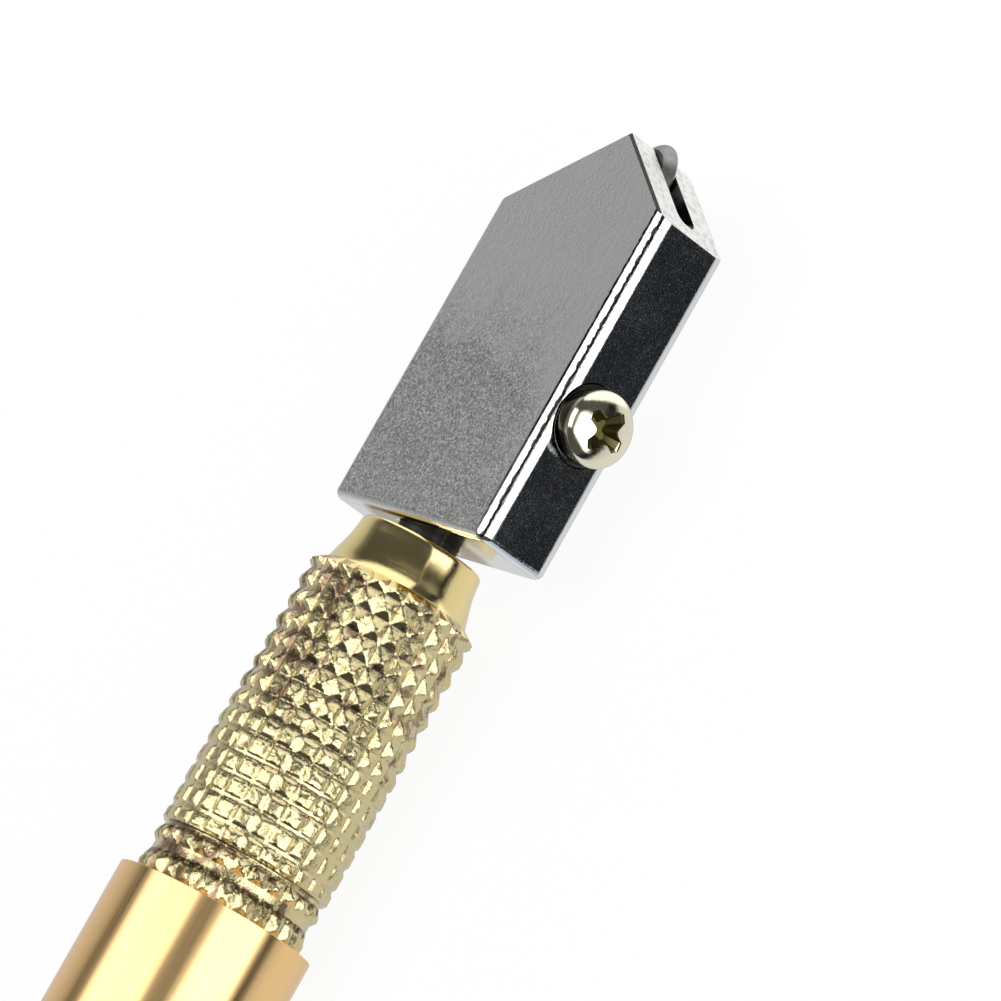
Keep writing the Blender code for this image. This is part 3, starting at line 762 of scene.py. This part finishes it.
def make_head(material):
    """The casting, with its stem bore, oil passage, wheel slot, pin hole and screw seat."""
    face = SCREW_SIDE_Y
    stem_bore = [
        (-MM, STEM_BORE_MOUTH),
        (0.0, STEM_BORE_MOUTH),
        (0.15 * MM, STEM_BORE_RADIUS),
        (STEM_BORE_END, STEM_BORE_RADIUS),
    ]
    passage = [(OIL_PASSAGE_START, OIL_PASSAGE_RADIUS), (SLOT_FLOOR + MM, OIL_PASSAGE_RADIUS)]
    seat_floor = face + SEAT_DEPTH
    seat = [
        (face - MM, SEAT_RADIUS + 0.16 * MM),
        (face, SEAT_RADIUS + 0.16 * MM),
        (face + 0.14 * MM, SEAT_RADIUS + 0.02 * MM),
        (seat_floor, SEAT_RADIUS),
    ]
    thread = [(seat_floor - 0.1 * MM, SCREW_HOLE_RADIUS), (-MM, SCREW_HOLE_RADIUS)]
    axle_hole = [(-HEAD_THICKNESS, AXLE_HOLE_RADIUS), (AXLE_HOLE_END, AXLE_HOLE_RADIUS)]
    screw_at = (SCREW_STATION, 0, 0)
    cutters = [
        rod(stem_bore, 64),
        rod(passage, 32),
        wheel_slot(),
        rod(seat, 96, "Y", screw_at),
        rod(thread, 48, "Y", screw_at),
        rod(axle_hole, 40, "Z", (WHEEL_STATION, -WHEEL_TRAIL, 0)),
    ]
    mesh = flat_faced(subtract(mesh_from(head_blank(), "head_blank"), cutters))
    finish_piece("head_casting", mesh, "head", material, "head_shell")


def make_wheel(material):
    """A disc with a ground V rim, a chamfered bore and a flat land between them."""
    side = WHEEL_WIDTH / 2
    bore = AXLE_HOLE_RADIUS
    shoulder = WHEEL_RADIUS - side
    half = [
        (-side + 0.08 * MM, bore),
        (-side, bore + 0.08 * MM),
        (-side, shoulder - 0.05 * MM),
        (-side + 0.04 * MM, shoulder),
        (-0.03 * MM, WHEEL_RADIUS - 0.02 * MM),
    ]
    profile = half + [(0.0, WHEEL_RADIUS)] + [(-x, radius) for x, radius in reversed(half)]
    shape = lathe("wheel", round_rings(profile, 128), closed=True)
    mesh = mesh_from(turn_to(shape, "Z", (WHEEL_STATION, -WHEEL_TRAIL, 0)), "wheel")
    finish_piece("carbide_wheel", mesh, "wheel", material, "cutting_wheel")


def cross_recess(top, bottom):
    """A cutter for a cross recess: four tapering arms with pointed ends and rounded corners.

    The outline's sizes are in millimetres, and its turn about the screw is in radians.
    """
    arm_half, arm_end, arm_point, corner, turned = 0.47, 1.33, 1.61, 0.33, 1.21
    quarter = [(arm_end, -arm_half), (arm_point, 0.0), (arm_end, arm_half)]
    centre = arm_half + corner
    for step in range(6):
        turn = math.radians(-90 - 90 * step / 5)
        quarter.append((centre + corner * math.cos(turn), centre + corner * math.sin(turn)))
    outline = []
    for arm in range(4):
        turn = Matrix.Rotation(arm * math.pi / 2 + turned, 2)
        outline += [turn @ Vector(point) * MM for point in quarter]
    shape = bmesh.new()
    rings = []
    for y, scale in ((top - MM, 1.0), (top + 0.35 * MM, 1.0), (bottom, 0.5)):
        ring = [shape.verts.new((x * scale, y, z * scale)) for x, z in outline]
        rings.append(ring)
    shape.faces.new(rings[0])
    shape.faces.new(rings[-1])
    for near, far in zip(rings, rings[1:]):
        for step in range(len(outline)):
            after = (step + 1) % len(outline)
            shape.faces.new([near[step], near[after], far[after], far[step]])
    bmesh.ops.translate(shape, vec=(SCREW_STATION, 0, 0), verts=shape.verts)
    return shape


def make_screw(material):
    """A pan-head screw with a domed top, from its dome down to its dog point."""
    seat = SCREW_SEAT_Y
    wall_end = seat - SCREW_WALL
    top = wall_end - SCREW_DOME
    profile = [(top, 0.01 * MM)]
    steps = 16
    for step in range(1, steps):
        turn = step / steps * math.pi / 2
        spread = SCREW_HEAD_RADIUS * math.sin(turn) ** 0.92
        profile.append((wall_end - SCREW_DOME * math.cos(turn), spread))
    tip = seat + SCREW_LENGTH
    profile += rounded(
        [
            (wall_end, SCREW_HEAD_RADIUS),
            (seat, SCREW_HEAD_RADIUS),
            (seat, SCREW_SHANK_RADIUS),
            (tip - 0.9 * MM, SCREW_SHANK_RADIUS),
            (tip - 0.6 * MM, SCREW_TIP_RADIUS),
            (tip, SCREW_TIP_RADIUS),
            (tip, 0.01 * MM),
        ],
        0.1 * MM,
    )
    mesh = mesh_from(rod(profile, 96, "Y", (SCREW_STATION, 0, 0)), "screw")
    mesh = subtract(mesh, [cross_recess(top, top + 1.2 * MM)])
    finish_piece("pan_head_screw", mesh, "screw", material, "head_screw", 28.0)


# ---- Handle ----------------------------------------------------------------------------------
def ring_grooves():
    """Each ring groove as (station, half its flat width), from the knurl's start to its end."""
    grooves = [(KNURL_START / MM, 0.0)] + EVEN_GROOVES + UNEVEN_GROOVES + END_GROOVES
    return [(station * MM, land * MM) for station, land in grooves]


def smooth_noise(rng, rows, columns, step):
    """Noise from -1 to 1 on a grid that closes round, with a random value every few steps."""
    coarse = rng.uniform(-1, 1, (rows // step + 2, columns // step))
    down = np.arange(rows) / step
    over = np.arange(columns) / step
    row, column = down.astype(int), over.astype(int)
    down, over = (down - row)[:, None], (over - column)[None, :]
    down, over = down**2 * (3 - 2 * down), over**2 * (3 - 2 * over)
    after = (column + 1) % coarse.shape[1]
    upper = coarse[row][:, column] * (1 - over) + coarse[row][:, after] * over
    lower = coarse[row + 1][:, column] * (1 - over) + coarse[row + 1][:, after] * over
    return upper * (1 - down) + lower * down


def knurl_rings(count):
    """Rings of square pyramids, sharp near the neck, crushed flat behind and sharp at the end.

    Each tooth has its own height, at most its row's cap, and leans and sinks a little at random.
    """
    rng = np.random.RandomState(7)
    grooves = ring_grooves()
    tooth = np.arange(count) / TOOTH_STEPS
    column = tooth.astype(int)
    across = tooth - column
    tri_across = 1 - np.abs(2 * across - 1)
    rows = (len(grooves) - 1) * TOOTH_STEPS
    crumple = smooth_noise(rng, rows, count, 4) * 0.6 + smooth_noise(rng, rows, count, 2) * 0.4
    speckle = rng.uniform(-1, 1, (rows, count))
    rings = []
    for row, ((front, front_land), (back, back_land)) in enumerate(zip(grooves, grooves[1:])):
        crushed = np.interp(row, [5.0, 8.5, 13.0, 14.0], [0.0, 1.0, 1.0, 0.2])
        cap = 1.0 - 0.62 * crushed
        caps = cap * (1 + 0.12 * rng.uniform(-1, 1, TEETH_ROUND))[column]
        tilt_along = 0.14 * rng.uniform(-1, 1, TEETH_ROUND)[column]
        tilt_across = 0.14 * rng.uniform(-1, 1, TEETH_ROUND)[column]
        sink = 0.10 * rng.uniform(0, 1, TEETH_ROUND)[column]
        reach = (front - back - front_land - back_land) / 2
        for step in range(TOOTH_STEPS):
            along = step / TOOTH_STEPS
            station = front + (back - front) * along
            if station < KNURL_END - 0.2 * MM:
                continue
            ahead = front - front_land - station
            behind = station - back - back_land
            tri_along = max(0.0, min(ahead / NOSE_FACE, behind / TUBE_FACE) / reach)
            height = np.minimum(np.minimum(tri_across, tri_along), caps)
            lean = tilt_along * (2 * along - 1) + tilt_across * (2 * across - 1)
            height = height * (1 + lean - sink)
            crest = min(KNURL_RADIUS, 5.2 * MM + (KNURL_START - station) * 0.9)
            line = row * TOOTH_STEPS + step
            rough = crumple[line] * (0.045 + 0.015 * crushed) + speckle[line] * 0.016
            radii = crest - KNURL_DEPTH * (cap - height)
            radii = radii + rough * MM * np.minimum(1, 3 * height)
            rings.append((station, np.minimum(radii, KNURL_RADIUS + 0.02 * MM)))
    return rings


def neck_profile():
    """The neck from its rolled lip back to the knurl, flaring as it goes."""
    points = [
        (-0.75, 3.88),
        (-0.77, 3.96),
        (-0.83, 4.02),
        (-0.92, 4.06),
        (-1.10, 4.09),
        (-1.50, 4.13),
        (-2.10, 4.22),
        (-2.80, 4.40),
        (-3.40, 4.58),
        (-4.00, 4.74),
    ]
    return [(station * MM, radius * MM) for station, radius in points]


def make_grip(material):
    """The neck, the knurl and the spigot, with the stem's bore and the seal's grooves inside."""
    count = TEETH_ROUND * TOOTH_STEPS
    tail = [
        (KNURL_END - 0.22 * MM, SPIGOT_RADIUS),
        (KNURL_END - 0.3 * MM, SPIGOT_RADIUS),
        (RING_GROOVE[0], SPIGOT_RADIUS),
        (RING_GROOVE[0], RING_GROOVE_RADIUS),
        (RING_GROOVE[1], RING_GROOVE_RADIUS),
        (RING_GROOVE[1], SPIGOT_RADIUS),
        (SPIGOT_END + 0.5 * MM, SPIGOT_RADIUS),
        (SPIGOT_END, SPIGOT_RADIUS - 0.5 * MM),
        (SPIGOT_END, SEAT_THREAD_RADIUS),
        (CHAMBER[1], SEAT_THREAD_RADIUS),
        (CHAMBER[1], CHAMBER_RADIUS),
        (CHAMBER[0], CHAMBER_RADIUS),
        (CHAMBER[0], NECK_BORE_RADIUS),
        (SEAL_GROOVE[1], NECK_BORE_RADIUS),
        (SEAL_GROOVE[1], SEAL_GROOVE_RADIUS),
        (SEAL_GROOVE[0], SEAL_GROOVE_RADIUS),
        (SEAL_GROOVE[0], NECK_BORE_RADIUS),
        (-0.95 * MM, NECK_BORE_RADIUS),
        (-0.75 * MM, NECK_BORE_RADIUS + 0.2 * MM),
    ]
    rings = round_rings(neck_profile(), count) + knurl_rings(count) + round_rings(tail, count)
    mesh = mesh_from(lathe("grip", rings, closed=True), "grip")
    finish_piece("knurled_collar", mesh, "handle", material, "knurled_grip", 24.0)


def make_tube(material):
    """The handle's tube, with its ends slightly rolled."""
    low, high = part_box("handle_tube")
    radius = (high.z - low.z) / 2
    back, front = low.x - ORIGIN.x, high.x - ORIGIN.x
    inner = radius - TUBE_WALL
    section = [
        (back, radius - 0.5 * TUBE_WALL),
        (back, radius),
        (front, radius),
        (front, inner),
        (back, inner),
        (back, radius - 0.5 * TUBE_WALL - 0.02 * MM),
    ]
    profile = rounded(section, 0.05 * MM)
    mesh = mesh_from(lathe("tube", round_rings(profile, 256), closed=True), "tube")
    finish_piece("gold_tube", mesh, "handle", material, "handle_tube")


def make_cap(material):
    """The filler cap: a finely fluted rim with plain lands, a coin slot and its spigot."""
    low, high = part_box("filler_cap")
    back = low.x - ORIGIN.x
    radius = (high.z - low.z) / 2 - 0.01 * MM
    front = back + CAP_LENGTH
    flutes = 64
    flute_steps = 6
    steps = flutes * flute_steps
    wave = np.abs(np.sin(np.arange(steps) * math.pi / flute_steps))
    spigot = CAP_SPIGOT_RADIUS
    shoulder = [(back, 0.5 * MM), (back, radius - 0.5 * MM), (back + 0.6 * MM, radius)]
    rings = round_rings([(back, 0.02 * MM)] + rounded(shoulder, 0.2 * MM)[1:], steps)
    for share in np.linspace(0, 1, 12):
        station = back + 1.0 * MM + share * 2.7 * MM
        depth = 0.14 * MM * min(1.0, 6 * share, 6 * (1 - share))
        rings.append((station, radius - depth * (1 - wave)))
    tail = rounded(
        [
            (back + 3.9 * MM, radius),
            (front - 0.2 * MM, radius),
            (front, radius - 0.2 * MM),
            (front, spigot),
            (front + 5.7 * MM, spigot),
            (front + 6.1 * MM, spigot - 0.4 * MM),
            (front + 6.1 * MM, 0.02 * MM),
        ],
        0.12 * MM,
    )
    rings += round_rings(tail, steps)
    mesh = mesh_from(lathe("cap", rings, closed=False), "cap")
    slot = bmesh.new()
    size = (2 * COIN_SLOT_DEPTH, 3 * radius, COIN_SLOT_WIDTH)
    bmesh.ops.create_cube(slot, size=1.0, matrix=Matrix.Diagonal((*size, 1.0)))
    bmesh.ops.translate(slot, vec=(back, 0, 0), verts=slot.verts)
    mesh = subtract(mesh, [slot])
    finish_piece("fluted_cap", mesh, "cap", material, "filler_cap")


def make_spring(material):
    """The valve spring: a copy of the CAD coils with their own finish."""
    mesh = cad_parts["valve_spring"].data.copy()
    mesh.materials.clear()
    mesh.materials.append(material)
    mesh.name = "spring_coils"
    piece = bpy.data.objects.new("spring_coils", mesh)
    bpy.context.scene.collection.objects.link(piece)
    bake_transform(piece)
    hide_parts("valve_spring")


def finish_cad_nodes(materials):
    """Gives the pieces that keep their CAD shape their own finish."""
    for node, material in materials.items():
        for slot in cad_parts[node].material_slots:
            slot.material = material


# ---- Stage -----------------------------------------------------------------------------------
# How bright the room is by bearing, as (degrees, glow) stops. Bearings go about the tool's axis,
# from straight up towards the camera's side.
SOFTBOXES = [
    (-180, 0.80), (-152, 0.68), (-102, 0.66), (-82, 0.67), (-68, 0.59), (-57, 0.47),
    (-50, 0.22), (-46, 0.12), (-39, 0.12), (-34, 0.55), (-27, 2.3), (29, 2.3), (33, 0.57),
    (37, 0.32), (52, 0.26), (55, 0.49), (61, 1.0), (63, 2.7), (112, 2.7), (115, 1.6),
    (120, 0.015), (129, 0.015), (133, 0.61), (142, 0.75), (150, 0.80), (180, 0.80),
]
ROOM = [
    (-180, 0.80), (-152, 0.68), (-102, 0.66), (-82, 0.67), (-68, 0.59), (-57, 0.47),
    (-50, 0.20), (-37, 0.08), (112, 0.08), (118, 0.015), (131, 0.015), (134, 0.61),
    (142, 0.75), (180, 0.80),
]
WALL_GLOW = 1.35
BRIGHTEST = 3.0


def make_camera():
    """The photograph's view: half a metre off, looking down on the head's front and one side."""
    back = Vector((-0.16328, -0.81147, 0.56111))
    up = Vector((0.85858, 0.16329, 0.48599))
    right = Vector((0.48599, -0.56111, -0.67005))
    aim = ORIGIN + Vector((4.026, -2.084, -1.842)) * MM
    distance = 0.5
    data = bpy.data.cameras.new("camera")
    data.lens = 296.51
    data.sensor_width = 36.0
    data.clip_start = 0.01
    camera = bpy.data.objects.new("camera", data)
    turn = Matrix((right, up, back)).transposed().to_4x4()
    camera.matrix_world = Matrix.Translation(aim + back * distance) @ turn
    bpy.context.scene.collection.objects.link(camera)
    bpy.context.scene.camera = camera


def make_floor():
    """A pale floor that glows a little, so that the tool's shadow stays faint."""
    mesh = bpy.data.meshes.new("floor")
    reach = 4.0
    corners = [(-reach, -reach, 0), (reach, -reach, 0), (reach, reach, 0), (-reach, reach, 0)]
    mesh.from_pydata(corners, [], [(0, 1, 2, 3)])
    floor = bpy.data.objects.new("floor", mesh)
    bpy.context.scene.collection.objects.link(floor)
    material = bpy.data.materials.new("pale_floor")
    material.use_nodes = True
    shader = material.node_tree.nodes["Principled BSDF"]
    shader.inputs["Base Color"].default_value = (0.08, 0.08, 0.08, 1.0)
    shader.inputs["Specular IOR Level"].default_value = 0.0
    shader.inputs["Roughness"].default_value = 1.0
    shader.inputs["Emission Color"].default_value = (1.0, 1.0, 1.0, 1.0)
    shader.inputs["Emission Strength"].default_value = 0.93
    mesh.materials.append(material)
    floor.visible_glossy = False


def glow_ramp(nodes, value, stops):
    """A colour ramp of grey from (bearing, glow) stops."""
    ramp = nodes.add("ShaderNodeValToRGB")
    elements = ramp.color_ramp.elements
    while len(elements) < len(stops):
        elements.new(0.5)
    for element, (bearing, _) in zip(elements, stops):
        element.position = (bearing + 180) / 360
    for element, (_, glow) in zip(elements, stops):
        element.color = (glow / BRIGHTEST,) * 3 + (1.0,)
    nodes.put(ramp.inputs["Fac"], value)
    return ramp.outputs["Color"]


def make_studio():
    """A studio of two long softboxes over a pale table, as one environment.

    The softboxes have ends, so ahead of the nose and far behind the tool the upper room is dark.
    Straight ahead of the tool a bright wall closes the room. The camera itself sees plain white.
    """
    world = bpy.data.worlds.new("studio")
    world.use_nodes = True
    bpy.context.scene.world = world
    world.node_tree.nodes.clear()
    nodes = Nodes(world.node_tree)

    parts = nodes.add("ShaderNodeSeparateXYZ")
    nodes.put(parts.inputs["Vector"], nodes.add("ShaderNodeTexCoord").outputs["Generated"])
    forward, sideways, upward = parts.outputs
    bearing = nodes.sums("ARCTAN2", nodes.sums("MULTIPLY", sideways, -1.0), upward)
    bearing = nodes.span(bearing, -math.pi, math.pi)
    beside = nodes.product(
        nodes.span(forward, 0.22, 0.31, 1.0, 0.0),
        nodes.span(forward, -0.50, -0.38),
    )
    room = glow_ramp(nodes, bearing, ROOM)
    lamps = nodes.blend(beside, room, glow_ramp(nodes, bearing, SOFTBOXES))
    lamps = nodes.blend(nodes.span(forward, 0.66, 0.74), lamps, (WALL_GLOW / BRIGHTEST,) * 3)

    lit = nodes.add("ShaderNodeBackground")
    nodes.put(lit.inputs["Color"], lamps)
    lit.inputs["Strength"].default_value = BRIGHTEST
    backdrop = nodes.add("ShaderNodeBackground")
    backdrop.inputs["Color"].default_value = (0.99, 0.99, 0.985, 1.0)
    switch = nodes.add("ShaderNodeMixShader")
    nodes.put(switch.inputs["Fac"], nodes.add("ShaderNodeLightPath").outputs["Is Camera Ray"])
    nodes.put(switch.inputs[1], lit.outputs["Background"])
    nodes.put(switch.inputs[2], backdrop.outputs["Background"])
    output = nodes.add("ShaderNodeOutputWorld")
    nodes.put(output.inputs["Surface"], switch.outputs["Shader"])


make_camera()
make_studio()
make_floor()
bpy.context.scene.view_settings.view_transform = "Standard"

brass = turned_brass()
# Painted shade: the stem's steel is near-black so the gap between the neck and the head reads
# dark.
stem_steel = machined_steel("shade_dark_stem_steel", 0.05, 0.5)
spring_steel = machined_steel("spring_wire", 0.55, 0.3)
rubber = black_rubber()
make_head(cast_chrome())
make_wheel(ground_carbide())
make_screw(champagne_plate())
make_grip(knurled_brass())
make_tube(polished_rose_gold())
make_cap(brass)
make_spring(spring_steel)
finish_cad_nodes(
    {
        "wheel_axle": machined_steel("axle_steel", 0.6, 0.25),
        "head_wick": fibre("felt_wick", (0.75, 0.72, 0.65), (0.5, 0.47, 0.4)),
        "oil_stem": stem_steel,
        "stem_seal": rubber,
        "stem_clip": spring_steel,
        "valve_seal": rubber,
        "spring_seat": brass,
        "stem_wick": fibre("cotton_wick", (0.85, 0.83, 0.78), (0.62, 0.6, 0.54)),
        "grip_o_ring": rubber,
        "rear_bush": brass,
        "cap_o_ring": rubber,
    }
)
